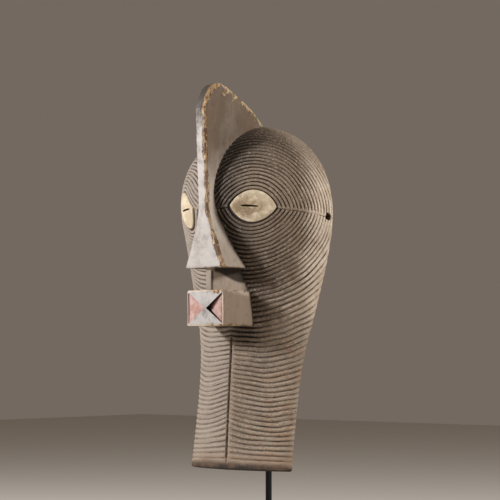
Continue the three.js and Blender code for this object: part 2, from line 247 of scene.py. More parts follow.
# the far eye is cut taller and narrower than the near one, and its loops with it
farEye = {
    "narrower": 0.32,
    "taller": 0.23,
    "outward": 2,
    "turned": 0.08,
    "reach": 80,
    "rise": 70,
    "clear": 24,
}
loops = {
    "toCentre": 4,
    "toRim": 17,
    "evenlySpread": 32,
    "above": 30,
    "below": 51,
    "pitchByEye": 4.43,
    "pitchOnChin": 6.73,
    "evenFrom": 22,
    "pitchOverEye": 5.3,
    "crownFrom": 16,
    "chinTrough": 38,
    "widening": 0.6,
    "levelFrom": 43,
    "endLift": 4.5,
}
carving = {
    "rows": (0, 0.1, 0.24, 0.5, 0.76, 0.9),
    "columns": {1: 58, -1: 64},
    "endSteps": (0, 0.9, 1.9, 3.2),
    "crownGap": 1.6,
    "depth": 2.0,
    "halfGroove": 0.27,
    "roundedRidge": 0.22,
    "wobble": (0.13, 55),
    "chinWobble": 1.4,
    "jitter": (0.05, 17),
    "eyeDepth": 2.4,
    "lineEdge": (1, 2.2),
    "underLine": (1.9, 1),
    "underLineDepth": 0.75,
    "chinLine": (12, 182),
    "chinLineCut": 4.2,
    "chinLineHalf": 2.3,
    "chinLineWander": (0.5, 6),
    "besideChinLine": (3, 10),
    "unevenSurface": (0.5, 120),
    "rimRounded": (1.6, 5),
    "footRounded": (3.2, 0.3),
}
# the share of a groove's depth that wear has left: by the rim, on the crown, on the far chin, by chance
wear = {
    "byRim": 0.45,
    "rim": (0, 12),
    "onCrown": 0.3,
    "crown": (462, 480),
    "crownBack": (55, 85),
    "onFarChin": 0.8,
    "farChin": (5, 45),
    "chinTop": (150, 230),
    "even": 0.92,
    "patches": (0.22, 38),
    "nicks": (0.16, 11),
}


# how far across that plane a point is, and the way back from it to the turn about the shell
def across(points):
    return points[..., 0] * math.cos(viewTurn) + points[..., 1] * math.sin(viewTurn)


def turnAt(u, z):
    return crossing(lambda turn: u - across(shellPoint(turn, z)), 0 * u, 0 * u + quarterTurn)


def centreAcross(z):
    return across(shellPoint(0, z))


def rimAcross(z):
    return across(shellPoint(quarterTurn, z))


# the height of an eye's long axis
def eyeLine(u):
    return eye["up"] + eye["tilt"] * (u - eye["across"])


def reachTo(edgeAcross, side):
    def left(reach):
        return side * (edgeAcross(eye["up"] + side * eye["tilt"] * reach) - eye["across"]) - reach
    return float(crossing(left, 0, 2 * widestHalf))


innerReach = reachTo(centreAcross, -1)
outerReach = reachTo(rimAcross, 1)
innerPitch = (innerReach - eye["halfLength"]) / loops["toCentre"]
outerPitch = (outerReach - eye["halfLength"]) / loops["toRim"]
tightening = (innerPitch - outerPitch) / (loops["toRim"] - loops["toCentre"])
firstPitch = innerPitch + tightening * loops["toCentre"]


# how far a loop reaches to either side of the eye's middle, and how far it drops and rises
def reachOf(loop):
    return eye["halfLength"] + firstPitch * loop - tightening * loop * loop


def dropOf(loop):
    even = np.minimum(loop, loops["evenFrom"])
    growth = (loops["pitchOnChin"] - loops["pitchByEye"]) / (2 * loops["evenFrom"])
    return (eye["halfHeight"] + loops["pitchByEye"] * even + growth * even * even
            + loops["pitchOnChin"] * (loop - even))


def riseOf(loop):
    crown = shell["top"] - shell["brow"]
    overEye = eye["halfHeight"] + loops["pitchOverEye"] * loop
    start = eye["up"] + eye["halfHeight"] + loops["pitchOverEye"] * loops["crownFrom"] - shell["brow"]
    share = np.clip((loop - loops["crownFrom"]) / (loops["above"] - loops["crownFrom"]), 0, 1)
    height = shell["brow"] + crown * np.sin(mix(math.asin(start / crown), quarterTurn, share)) - eye["up"]
    offCentre = eye["across"] / reachOf(loops["above"])
    overCrown = mix(height, height / math.sqrt(1 - offCentre**2), share**3)
    return np.where(loop <= loops["crownFrom"], overEye, overCrown)


crownAngle = math.acos(-eye["across"] / reachOf(loops["above"]))
bottomLoop = loops["below"] + float(eye["up"] - dropOf(loops["below"])) / loops["pitchOnChin"]


# side is 1 above the eye's line and -1 below it
def loopAt(loop, angle, side):
    sharp = 1 + eye["pointed"] * np.maximum(1 - loop / loops["toRim"], 0)
    swing = np.sin(np.clip(angle, 0, halfTurn)) ** sharp
    if side > 0:
        u = eye["across"] + reachOf(loop) * np.cos(angle)
        return u, eyeLine(u) + riseOf(loop) * swing
    beyond = np.maximum((loop - loops["toRim"]) / (bottomLoop - loops["toRim"]), 0)
    widened = (dropOf(loop) / dropOf(loops["toRim"])) ** loops["widening"]
    reach = np.where(beyond > 0, reachOf(loops["toRim"]) * widened, reachOf(loop))
    u = mix(eye["across"], loops["chinTrough"], beyond) + reach * np.cos(angle)
    slack = fall(loop, loops["levelFrom"], bottomLoop)
    tilt = eye["tilt"] * (u - eye["across"]) * (1 - beyond) ** 2
    outward = (u - centreAcross(0)) / (rimAcross(0) - centreAcross(0))
    lift = loops["endLift"] * beyond**8 * outward**2
    return u, eye["up"] + tilt + lift - dropOf(loop) * (1 - slack * (1 - swing))


# the angles at which a loop meets the mask's middle and its rim
def loopSpan(loop, side):
    def toCentre(angle):
        u, z = loopAt(loop, angle, side)
        return u - centreAcross(z)

    def toRim(angle):
        u, z = loopAt(loop, angle, side)
        return rimAcross(z) - u

    between = np.full(loop.shape, crownAngle if side > 0 else quarterTurn)
    atCentre = crossing(toCentre, between, between * 0 + halfTurn)
    atRim = crossing(toRim, between, between * 0)
    return (np.where(loop <= loops["toCentre"], halfTurn, atCentre),
            np.where(loop <= loops["toRim"], 0, atRim))


def columnShares(arc, columns):
    ends = np.array(carving["endSteps"])
    start = np.minimum(ends / arc, 0.02 * np.arange(len(ends)) + 0.02 * ends / ends[-1])
    inside = np.linspace(start[-1], 1 - start[-1], columns + 1 - 2 * (len(ends) - 1))
    return np.concatenate([start[:-1], inside, (1 - start[:-1])[::-1]])


def grooveCut(loop, lastGroove):
    off = np.abs(loop - np.round(loop))
    off = np.where(loop > lastGroove, loop - lastGroove, off)
    return mix(near(off, carving["halfGroove"]), near(off, 0.5) ** 2, carving["roundedRidge"])


def asFarEye(u, z):
    along = u - eye["across"]
    off = z - eyeLine(u)
    share = near((along / farEye["reach"]) ** 2 + (off / farEye["rise"]) ** 2, 1) ** 2
    share = share * ease(u - centreAcross(np.clip(z, 0, shell["top"])), 0, farEye["clear"])
    u = u + share * (farEye["outward"] - farEye["narrower"] * along - farEye["turned"] * off)
    return u, eyeLine(u) + off * (1 + farEye["taller"] * share)


# a patch's rows, each a loop number: several to a groove, then the plain end
def rowLoops(side, lastLoop):
    rows = carving["rows"]
    steps = [k + part for k in range(lastLoop) for part in rows] + [lastLoop]
    if side > 0:
        steps = [step for step in steps if step < lastLoop - carving["crownGap"]] + [lastLoop]
    else:
        steps += [lastLoop + part for part in rows[1:4]]
        steps += list(np.linspace(lastLoop + 0.7, bottomLoop - 0.3, 4)) + [bottomLoop - 0.12, bottomLoop]
    return np.array(steps, float)[:, None]


# how far, in loops, the hand-cut grooves wander from their places
def wanderOf(where, loop, angle, lastLoop):
    settled = ease(loop, 0.6, 3) * fall(loop, lastLoop - 3, lastLoop - 0.5)
    settled *= np.maximum(ease(np.abs(loop - loops["toRim"]), 0, 1.5), ease(angle, 0, 0.3))
    wobble = uneven(where, carving["wobble"], 3) * mix(1, carving["chinWobble"], ease(loop, 20, 34))
    inside = ease(np.abs(where[..., 1]), 6, 24) * ease(np.abs(where[..., 0]), 4, 20)
    return settled * (wobble + inside * uneven(where, carving["jitter"], 4))


def depthLeft(where):
    x, y, z = np.moveaxis(where, -1, 0)
    left = mix(wear["byRim"], 1, ease(np.abs(y), *wear["rim"]))
    left *= mix(1, wear["onCrown"], ease(z, *wear["crown"]) * fall(-y, *wear["crownBack"]))
    left *= mix(1, wear["onFarChin"], ease(-x, *wear["farChin"]) * fall(z, *wear["chinTop"]))
    return left * (wear["even"] + uneven(where, wear["patches"], 5) + uneven(where, wear["nicks"], 6))


# the straight line down the chin; on the near half the grooves fade out beside it
def withChinLine(cut, where, height, half):
    beside = np.maximum(np.abs(where[..., 0]) + uneven(where, carving["chinLineWander"], 9), 0)
    low, high = carving["chinLine"]
    inLine = ease(height, low - 3, low + 3) * fall(height, high - 3, high + 3)
    if half > 0:
        cut = cut * (1 - 0.75 * inLine * fall(beside, *carving["besideChinLine"]))
    return np.maximum(cut, near(beside, carving["chinLineHalf"]) * carving["chinLineCut"] * inLine)


# one grooved surface, all of it on one side of the eyes' line; half is 1 for the mask's near half
def patch(side, half):
    lastLoop = loops["above"] if side > 0 else loops["below"]
    loop = rowLoops(side, lastLoop)
    inner, outer = loopSpan(loop, side)
    lastAngle = outer * ease(loop, loops["toRim"], loops["evenlySpread"])
    size = (reachOf(np.minimum(loop, loops["toRim"])) + (riseOf(loop) if side > 0 else dropOf(loop))) / 2
    columns = carving["columns"][side]
    shares = np.array([columnShares(a, columns) for a in ((inner - lastAngle) * size)[:, 0]])
    angle = np.maximum(mix(inner, lastAngle, shares), outer)
    loop = loop + 0 * angle
    column = np.arange(columns + 1)[None, :] + 0 * loop
    onCentre = (column == 0) & (loop >= loops["toCentre"])
    onRim = (angle <= outer) & (loop >= loops["toRim"])

    def place(loopNumber):
        u, z = loopAt(loopNumber, angle, side)
        if half < 0:
            u, z = asFarEye(u, z)
        height = np.clip(z, 0, shell["top"])
        beside = np.maximum(u, centreAcross(height) + 0.4)
        turn = np.where(onCentre, 0, np.where(onRim, quarterTurn, turnAt(beside, height)))
        return turn, height

    mirror = (half, 1, 1)
    where = shellPoint(*place(loop)) * mirror
    turn, height = place(loop + wanderOf(where, loop, angle, lastLoop))
    points, normals = shellPoint(turn, height), shellNormal(turn, height)
    where = points * mirror
    u = across(points)
    fromLine = np.abs(height - eyeLine(u))
    pastEye = np.abs(u - eye["across"]) > eye["halfLength"] * (1 if half > 0 else 0.8)
    byEye = fall(loop, loops["toRim"] - 0.5, loops["toRim"]) * pastEye
    offLine = mix(1, ease(fromLine, *carving["lineEdge"]), byEye)
    lastGroove = lastLoop if side < 0 else lastLoop + 9
    cut = carving["depth"] * grooveCut(loop, lastGroove) * offLine * depthLeft(where)
    cut = np.where(loop < 0.3, mix(carving["eyeDepth"] * offLine, cut, ease(loop, 0, 0.3)), cut)
    if side < 0:
        under, thin = carving["underLine"]
        thinLine = near(np.abs(fromLine - under), thin) * byEye
        cut = np.maximum(cut, carving["underLineDepth"] * carving["depth"] * thinLine)
        cut = withChinLine(cut, where, height, half)
    sunk = cut / carving["depth"]
    if side < 0:
        fullCut, reach = carving["footRounded"]
        cut += fullCut * near(bottomLoop - loop, reach) ** 2
    fullCut, reach = carving["rimRounded"]
    cut += fullCut * near(np.abs(points[..., 1]), reach) ** 2
    cut += uneven(where, carving["unevenSurface"], 7)
    points = points - normals * cut[..., None]
    points[..., 0] = np.where(onCentre, 0, points[..., 0])
    points[..., 1] = np.where(onRim, 0, np.minimum(points[..., 1], 0))
    if side > 0:
        points[-1] = (0, 0, shell["top"] - 0.3)
    return points * mirror, {"sunk": sunk, "ring": loop + 0.5 * (1 - side)}


# building meshes from grids of points, each face marked with the zone it belongs to
zones = ("grooves", "lens", "rimEdge", "blade", "septum", "mouth", "pocket", "hollow", "opening")
# what each point carries: how deep it is carved, how rubbed it is, its place across the loops
marks = {"sunk": 0.0, "worn": 0.0, "ring": 0.0, "known": 1.0}


# the faces between neighbouring rows of a grid of point numbers
def quadsOf(index):
    corners = [index[:-1, :-1], index[:-1, 1:], index[1:, 1:], index[1:, :-1]]
    return np.stack(corners, -1).reshape(-1, 4)


class Form:
    def __init__(self):
        self.points = []
        self.marks = {mark: [] for mark in marks}
        self.faces = []
        self.zones = []
        self.count = 0

    def add(self, points, **given):
        points = np.asarray(points, float)
        first = self.count
        self.points.append(points.reshape(-1, 3))
        for mark in marks:
            values = given.get(mark, marks[mark]) + np.zeros(points.shape[:-1])
            self.marks[mark].append(values.ravel())
        self.count += points.size // 3
        return first + np.arange(points.size // 3).reshape(points.shape[:-1])

    def zone(self, name):
        self.zones += [zones.index(name)] * (len(self.faces) - len(self.zones))

    def grid(self, points, flip=False, **given):
        index = self.add(points, **given)
        quads = quadsOf(index)
        self.faces += (quads[:, ::-1] if flip else quads).tolist()
        return index

    def fan(self, ring, centre):
        middle = int(self.add([centre])[0])
        self.faces += [[middle, a, b] for a, b in zip(ring.tolist(), np.roll(ring, -1).tolist())]

    def mesh(self, name):
        mergeWithin = 2e-3
        data = bpy.data.meshes.new(name)
        data.from_pydata(np.concatenate(self.points).tolist(), [], self.faces)
        for mark, values in self.marks.items():
            data.attributes.new(mark, "FLOAT", "POINT").data.foreach_set("value", np.concatenate(values))
        data.attributes.new("zone", "INT", "FACE").data.foreach_set("value", self.zones)
        work = bmesh.new()
        work.from_mesh(data)
        bmesh.ops.remove_doubles(work, verts=work.verts, dist=mergeWithin)
        bmesh.ops.dissolve_degenerate(work, edges=work.edges, dist=mergeWithin / 10)
        bmesh.ops.recalc_face_normals(work, faces=work.faces)
        work.to_mesh(data)
        work.free()
        return addToScene(name, data)


# the smooth lens of an eye, in rings from its edge to its middle
def lensRows(ring, mirror):
    base = ring * mirror
    u, z = across(base), base[:, 2]
    rows = [ring]
    for scale in eye["rings"]:
        ringZ = mix(eye["up"], z, scale)
        turn = turnAt(mix(eye["across"], u, scale), ringZ)
        bulge = eye["bulge"] * (1 - (scale / eye["rimShare"]) ** 2)
        edge = carving["eyeDepth"] * ease(scale, eye["rimShare"], 1) ** 0.7
        rise = -edge if scale > eye["rimShare"] else bulge
        points = shellPoint(turn, ringZ) + shellNormal(turn, ringZ) * rise
        points[-1] = points[0]
        rows.append(points * mirror)
    middleTurn = turnAt(np.array(eye["across"]), np.array(float(eye["up"])))
    middle = shellPoint(middleTurn, eye["up"]) + shellNormal(middleTurn, eye["up"]) * eye["bulge"]
    rows.append(np.broadcast_to(middle * mirror, ring.shape))
    sunk = [1] + [ease(scale, eye["rimShare"], 1) for scale in eye["rings"]] + [0]
    return np.array(rows), np.array(sunk)[:, None]


def carvedBlock():
    form = Form()
    rims = {}
    bottoms = {}
    rimStart = loops["toRim"] * len(carving["rows"])
    for half in (1, -1):
        (upper, upperMarks), (lower, lowerMarks) = patch(1, half), patch(-1, half)
        form.grid(upper, half < 0, **upperMarks)
        form.grid(lower, half > 0, **lowerMarks)
        form.zone("grooves")
        lens, sunk = lensRows(np.concatenate([upper[0][::-1], lower[0][1:]]), (half, 1, 1))
        form.grid(lens, half < 0, sunk=sunk)
        form.zone("lens")
        rims[half] = np.concatenate([lower[rimStart:, -1][::-1], upper[rimStart + 1:, -1]])
        bottoms[half] = lower[-1]
    form.grid(np.stack([rims[1], rims[-1]], 1))
    form.grid(np.stack([bottoms[1], bottoms[-1]], 1))
    form.zone("rimEdge")
    return form.mesh("carvedBlock")


# the crest and nose are one blade, lofted from level sections and cut level below the nose
blade = {
    "tip": (-124.3, 268.3),
    "rise": -0.2027,
    "halfWidth": 6.4,
    "frontExtra": 1.4,
    "flareFrom": 346,
    "noseHalfWidth": 34.7,
    "flarePower": 1.2,
    "back": -30,
    "crestTop": ((-168, 484), (-165.5, 499), (-159, 513), (-149, 522.5), (-138, 526),
                 (-122, 524), (-96, 517), (-73, 509.5), (-53, 500.5), (-36, 489)),
    "corner": (0.7, 2.1),
    "largeChips": (0.6, 16),
    "smallChips": (0.5, 5),
    "tuck": (0.7, 1.2),
    "topTuck": (2.2, 22),
    "frontUneven": (0.35, 60),
    "levelOver": 40,
    "nicks": (0.55, 9),
    "nicksFrom": (-140, -120),
    "wornTip": 0.62,
    "wornTop": 0.54,
    "wornLumps": (0.24, 8),
}


# a smooth line through the points, each stretch in 14 steps
def smoothLine(points):
    p = np.array(points, float)
    p = np.concatenate([[2 * p[0] - p[1]], p, [2 * p[-1] - p[-2]]])
    t = np.linspace(0, 1, 14, endpoint=False)[:, None]
    runs = []
    for a, b, c, d in zip(p, p[1:], p[2:], p[3:]):
        squared = 2 * a - 5 * b + 4 * c - d
        cubed = 3 * b - a - 3 * c + d
        runs.append(0.5 * (2 * b + (c - a) * t + squared * t**2 + cubed * t**3))
    return np.concatenate(runs + [p[-2:-1]])


# half the outline from the front's middle to the back's middle, each corner an arc
def halfSection(front, back, frontHalf, backHalf, corner, backCorner):
    arc = np.linspace(0, quarterTurn, 5)
    flat = np.linspace(0, 1, 5)[:-1] * (frontHalf - corner)
    along = np.linspace(0, 1, 16)[1:-1]
    sideways = [flat, frontHalf - corner + corner * np.sin(arc), mix(frontHalf, backHalf, along),
                backHalf - backCorner + backCorner * np.cos(arc), [0]]
    depth = [np.full(4, front), front + corner - corner * np.cos(arc),
             mix(front + corner, back - backCorner, along),
             back - backCorner + backCorner * np.sin(arc), [back]]
    return np.stack([np.concatenate(sideways), np.concatenate(depth)], -1)


def section(front, back, frontHalf, backHalf, corners, backCorner=2.5):
    left, right = [halfSection(front, back, frontHalf, backHalf, c, backCorner) for c in corners]
    return np.concatenate([left, right[-2:0:-1] * (-1, 1)])


# a section at height z where y is fromY, and sloping up behind it
def ringOf(plan, z, fromY, slope=level):
    return np.column_stack([plan, z + (plan[:, 1] - fromY) * slope])


def loft(name, rings, zone, worn=0.0):
    rings = np.array(rings)
    form = Form()
    index = form.add(rings, worn=np.array(worn))
    form.faces += quadsOf(np.column_stack([index, index[:, 0]])).tolist()
    form.fan(index[0][::-1], rings[0].mean(0))
    form.fan(index[-1], rings[-1].mean(0))
    form.zone(zone)
    return form.mesh(name)


arrisReach = 12


# how near each point is to the arris between the front and a side, or to the crest's top
def nearArris(plan, frontHalf, front, underTop=100):
    inward = np.maximum(frontHalf - np.abs(plan[:, 0]), 0)
    backward = np.clip(plan[:, 1] - front, 0, underTop)
    return near(inward + backward, arrisReach)


def crestOutline():
    outline = smoothLine(blade["crestTop"])
    onBack = ease(outline[:, 0], *blade["nicksFrom"])
    flatLine = np.column_stack([0 * outline[:, 0], outline])
    outline[:, 1] += onBack * uneven(flatLine, blade["nicks"], 14)
    return outline


def crestAndNose():
    tipY, tipZ = blade["tip"]
    crestFrom = blade["crestTop"][0][1]
    outline = crestOutline()
    peak = int(np.argmax(outline[:, 1]))
    rising, falling = outline[:peak + 1], outline[peak:][::-1]
    topZ = outline[peak, 1]
    heights = np.concatenate([
        tipZ + np.array([0, 0.5, 1.2]),
        np.arange(tipZ + 3, crestFrom, 2.4),
        topZ - (topZ - crestFrom) * np.linspace(1, 0.02, 44) ** 1.5,
    ])
    rings = []
    worn = []
    for z in heights:
        front = tipY + blade["rise"] * (z - tipZ)
        if z >= crestFrom:
            front = np.interp(z, rising[:, 1], rising[:, 0])
        back = blade["back"]
        if z >= falling[0, 1]:
            back = np.interp(z, falling[:, 1], falling[:, 0])
        share = max((blade["flareFrom"] - z) / (blade["flareFrom"] - tipZ), 0)
        half = mix(blade["halfWidth"], blade["noseHalfWidth"], share ** blade["flarePower"])
        frontHalf = half + blade["frontExtra"] * (1 - share)
        bothSides = np.array([[0, front, z], [60, front, z]])
        chips = uneven(bothSides, blade["largeChips"], 11) + uneven(bothSides, blade["smallChips"], 12)
        length = back - front
        corners = np.minimum(mix(*blade["corner"], np.clip(chips + 0.2, 0, 1)), 0.3 * length)
        tuck, tuckHeight = blade["tuck"]
        topTuck, slimLength = blade["topTuck"]
        tuck = tuck * fall(z, tipZ, tipZ + tuckHeight) + topTuck * (1 - min(length / slimLength, 1)) ** 2
        front += uneven([[0, front, z]], blade["frontUneven"], 13)[0] + min(tuck, 0.9)
        plan = section(front, back, frontHalf - tuck, half - tuck, corners, min(3.5, 0.45 * length))
        slope = level * fall(z, tipZ, tipZ + blade["levelOver"])
        rings.append(ringOf(plan, z, tipY, slope))
        underTop = np.interp(plan[:, 1], outline[:, 0], outline[:, 1]) - z
        lumps = blade["wornTop"] + uneven(ringOf(plan, z, 0, 0), blade["wornLumps"], 15)
        rubbed = nearArris(plan, frontHalf, front, np.maximum(underTop * lumps, 0))
        worn.append(np.maximum(rubbed, blade["wornTip"] * fall(z, tipZ + 0.4, tipZ + 3)))
    return loft("crestAndNose", rings, "blade", worn)


# below the nose a wedge of wood runs down to the mouth
septum = {
    "front": (-114.4, 253.6),
    "frontHalf": 5,
    "backHalf": 35,
    "back": -60,
    "from": 236,
    "to": 284,
    "corner": 1.6,
    "uneven": (0.5, 30),
}


def septumWedge():
    frontY, middleZ = septum["front"]
    rings = []
    for z in np.linspace(septum["from"], septum["to"], 17):
        front = frontY - (z - middleZ) * level + uneven([[0, 0, z]], septum["uneven"], 17)[0]
        corners = [septum["corner"]] * 2
        plan = section(front, septum["back"], septum["frontHalf"], septum["backHalf"], corners)
        rings.append(ringOf(plan, z, frontY))
    return loft("septum", rings, "septum")


# the mouth is a box, its two side triangles sunk towards the middle
mouth = {
    "front": (-114.5, 213.7),
    "halfHeight": 24.7,
    "halfWidth": 33,
    "backHalf": 35.5,
    "back": -40,
    "rim": 2.2,
    "sinkCentre": 7.6,
    "sinkEdge": {1: 1.5, -1: 0.3},
    "ridge": 1.2,
    "proud": 6,
    "corner": 1.1,
    "tuck": 0.8,
    "tuckReach": 1.3,
    "chips": (0.6, 14),
    "uneven": (0.3, 25),
    "worn": 0.7,
}


def mouthBox():
    frontY, middleZ = mouth["front"]
    rings = []
    worn = []
    tall = mouth["halfHeight"]
    edge = np.array([0, 0.5, mouth["tuckReach"]]) - tall
    for up in [*edge, *np.linspace(3 - tall, tall - 3, 16), *-edge[::-1]]:
        tuck = mouth["tuck"] * ease(abs(up), tall - mouth["tuckReach"], tall) ** 2
        chips = np.clip(0.5 + uneven([[0, 0, up], [50, 0, up]], mouth["chips"], 19), 0.2, 1.6)
        front = frontY - up * level + tuck + uneven([[0, 0, up]], mouth["uneven"], 21)[0]
        plan = section(front, mouth["back"], mouth["halfWidth"] - tuck, mouth["backHalf"] - tuck,
                       mouth["corner"] * chips)
        rings.append(ringOf(plan, middleZ + up, frontY))
        rubbed = np.maximum(nearArris(plan, mouth["halfWidth"], front), near(tall - abs(up), arrisReach))
        worn.append(mouth["worn"] * rubbed)
    return loft("mouthBox", rings, "mouth", worn)


def mouthPocket(side):
    frontY, middleZ = mouth["front"]
    cornerX, cornerUp = mouth["halfWidth"] - mouth["rim"], mouth["halfHeight"] - mouth["rim"]

    def at(x, up, sunk):
        return [x, frontY - up * level + sunk, middleZ + up + sunk * level]

    def corners(edge, centre):
        return [at(side * cornerX, cornerUp - mouth["ridge"], edge),
                at(side * cornerX, mouth["ridge"] - cornerUp, edge),
                at(side * mouth["ridge"], 0, centre)]

    floor = corners(mouth["sinkEdge"][side], mouth["sinkCentre"])
    return loft("mouthPocket", [floor, corners(-mouth["proud"], -mouth["proud"])], "pocket")


# the wearer's hollow, left by an adze
hollow = {
    "turns": 44,
    "heights": 46,
    "past": 20,
    "crownGap": 5,
    "adze": (0.55, 42),
    "leastMark": -0.4,
}


def hollowSpace():
    rows = []
    turn = np.linspace(-quarterTurn, quarterTurn, hollow["turns"] + 1)
    for r in range(-1, hollow["heights"] + 1):
        z = shell["top"] * math.sin(quarterTurn * max(r, 0) / hollow["heights"])
        if shell["top"] - hollow["crownGap"] < z and r < hollow["heights"]:
            continue
        heights = np.full(turn.shape, z)
        points = shellPoint(turn, heights) - shellNormal(turn, heights) * shell["wall"]
        adze = np.maximum(uneven(points, hollow["adze"], 23), hollow["leastMark"])
        points -= shellNormal(turn, heights) * adze[:, None]
        points[[0, -1], 1] = 0
        if r == hollow["heights"]:
            points[:] = (0, 0, shell["top"] - shell["wall"])
        if r < 0:
            points[:, 2] = -hollow["past"]
        points = np.concatenate([points[:1], points, points[-1:]])
        points[[0, -1], 1] = hollow["past"]
        rows.append(points)
    form = Form()
    index = form.grid(np.array(rows))
    form.faces += quadsOf(index[:, [-1, 0]]).tolist()
    form.faces.append(index[0][::-1].tolist())
    form.zone("hollow")
    return form.mesh("hollowSpace")


# the wearer looks out through two narrow slits, and the costume was laced through a hole by each ear
openings = {
    "slitInner": (45.5, -114.2),
    "slitOuter": (67.4, -102.2),
    "slitHeight": 2.6,
    "earRadius": 5.6,
    "earPlace": (-12, 358),
    "through": 30,
    "sides": 20,
}


def eyeSlit(side):
    (x0, y0), (x1, y1) = openings["slitInner"], openings["slitOuter"]
    middle = np.array([(x0 + x1) / 2, (y0 + y1) / 2])
    along = np.array([x1 - x0, y1 - y0]) / 2
    away = np.array([-along[1], along[0]]) / np.linalg.norm(along)
    turns = np.linspace(0, wholeTurn, 28, endpoint=False)
    length = np.sign(np.cos(turns)) * np.abs(np.cos(turns)) ** 0.6
    rise = openings["slitHeight"] / 2 * np.sign(np.sin(turns)) * np.abs(np.sin(turns)) ** 0.8
    rings = []
    for depth in (-openings["through"], openings["through"]):
        plan = middle + np.outer(length, along) + away * depth
        rings.append(np.column_stack([plan * (side, 1), eye["up"] + rise]))
    return loft("eyeSlit", rings, "opening")


def earHole(side):
    y, z = openings["earPlace"]
    turns = np.linspace(0, wholeTurn, openings["sides"], endpoint=False)
    radius = openings["earRadius"]
    rings = []
    for x in (widestHalf - openings["through"], widestHalf + openings["through"]):
        xs = np.full(turns.shape, side * x)
        rings.append(np.column_stack([xs, y + radius * np.cos(turns), z + radius * np.sin(turns)]))
    return loft("earHole", rings, "opening")


def carveTogether():
    block = carvedBlock()
    joined = [crestAndNose(), septumWedge(), mouthBox()]
    removed = [mouthPocket(1), mouthPocket(-1), hollowSpace()]
    removed += [opening(side) for opening in (eyeSlit, earHole) for side in (1, -1)]
    for thing in joined + removed:
        cut = block.modifiers.new(thing.name, "BOOLEAN")
        cut.operation = "UNION" if thing in joined else "DIFFERENCE"
        cut.object = thing
        cut.solver = "MANIFOLD"
    data = modifiedMesh(block)
    for thing in [block, *joined, *removed]:
        bpy.data.objects.remove(thing)
    work = bmesh.new()
    work.from_mesh(data)
    gaps = sum(len(edge.link_faces) != 2 for edge in work.edges)
    highest = max(point.co.z for point in work.verts)
    work.free()
    if gaps or highest < shell["top"] + 1:
        sys.exit(f"the carving did not close: {gaps} open edges")
    return data


# colours are given as they look on a screen
def tint(red, green, blue):
    def line(value):
        value = value / 255
        return value / 12.92 if value <= 0.04045 else ((value + 0.055) / 1.055) ** 2.4
    return (line(red), line(green), line(blue), 1)


# colours that more than one finish of the mask uses
paint = {
    "ridge": (128, 111, 95),
    "ridgeDark": (82, 68, 55),
    "sootAndShadeBrown": (52, 43, 36),
    "ridgePale": (200, 184, 166),
    "ridgeWarm": (152, 125, 102),
    "ridgeGrey": (146, 134, 123),
    "groove": (50, 37, 28),
    "grooveAndShadowBlack": (22, 15, 11),
    "grooveFaint": (92, 77, 64),
    "band": (138, 116, 98),
    "foot": (86, 67, 51),
    "footDark": (38, 28, 21),
    "chip": (156, 126, 92),
    "chipDark": (84, 58, 39),
    "chipPale": (206, 182, 146),
}


# shader maths reads as plain sums: a Signal is one socket of a finish
class Signal:
    def __init__(self, finish, socket):
        self.finish = finish
        self.socket = socket

    def maths(self, operation, *values):
        return self.finish.add("ShaderNodeMath", {"operation": operation}, dict(enumerate(values)))

    def __add__(self, other):
        return self.maths("ADD", self, other)

    def __sub__(self, other):
        return self.maths("SUBTRACT", self, other)

    def __rsub__(self, other):
        return self.maths("SUBTRACT", other, self)

    def __mul__(self, other):
        return self.maths("MULTIPLY", self, other)

    def __truediv__(self, other):
        return self.maths("DIVIDE", self, other)

    def __pow__(self, other):
        return self.maths("POWER", self, other)

    __radd__ = __add__
    __rmul__ = __mul__

    def above(self, other):
        return self.maths("MAXIMUM", self, other)

    def below(self, other):
        return self.maths("MINIMUM", self, other)

    def size(self):
        return self.maths("ABSOLUTE", self)

    def fraction(self):
        return self.maths("FRACT", self)

    def ease(self, start, end):
        values = {"Value": self, "From Min": start, "From Max": end}
        return self.finish.add("ShaderNodeMapRange", {"interpolation_type": "SMOOTHSTEP"}, values)

    def fall(self, start, end):
        return 1 - self.ease(start, end)

    def within(self, start, full, fading, end):
        return self.ease(start, full) * self.fall(fading, end)

    # a pattern made to swing about nothing
    def swing(self, amount):
        return (self - 0.5) * amount


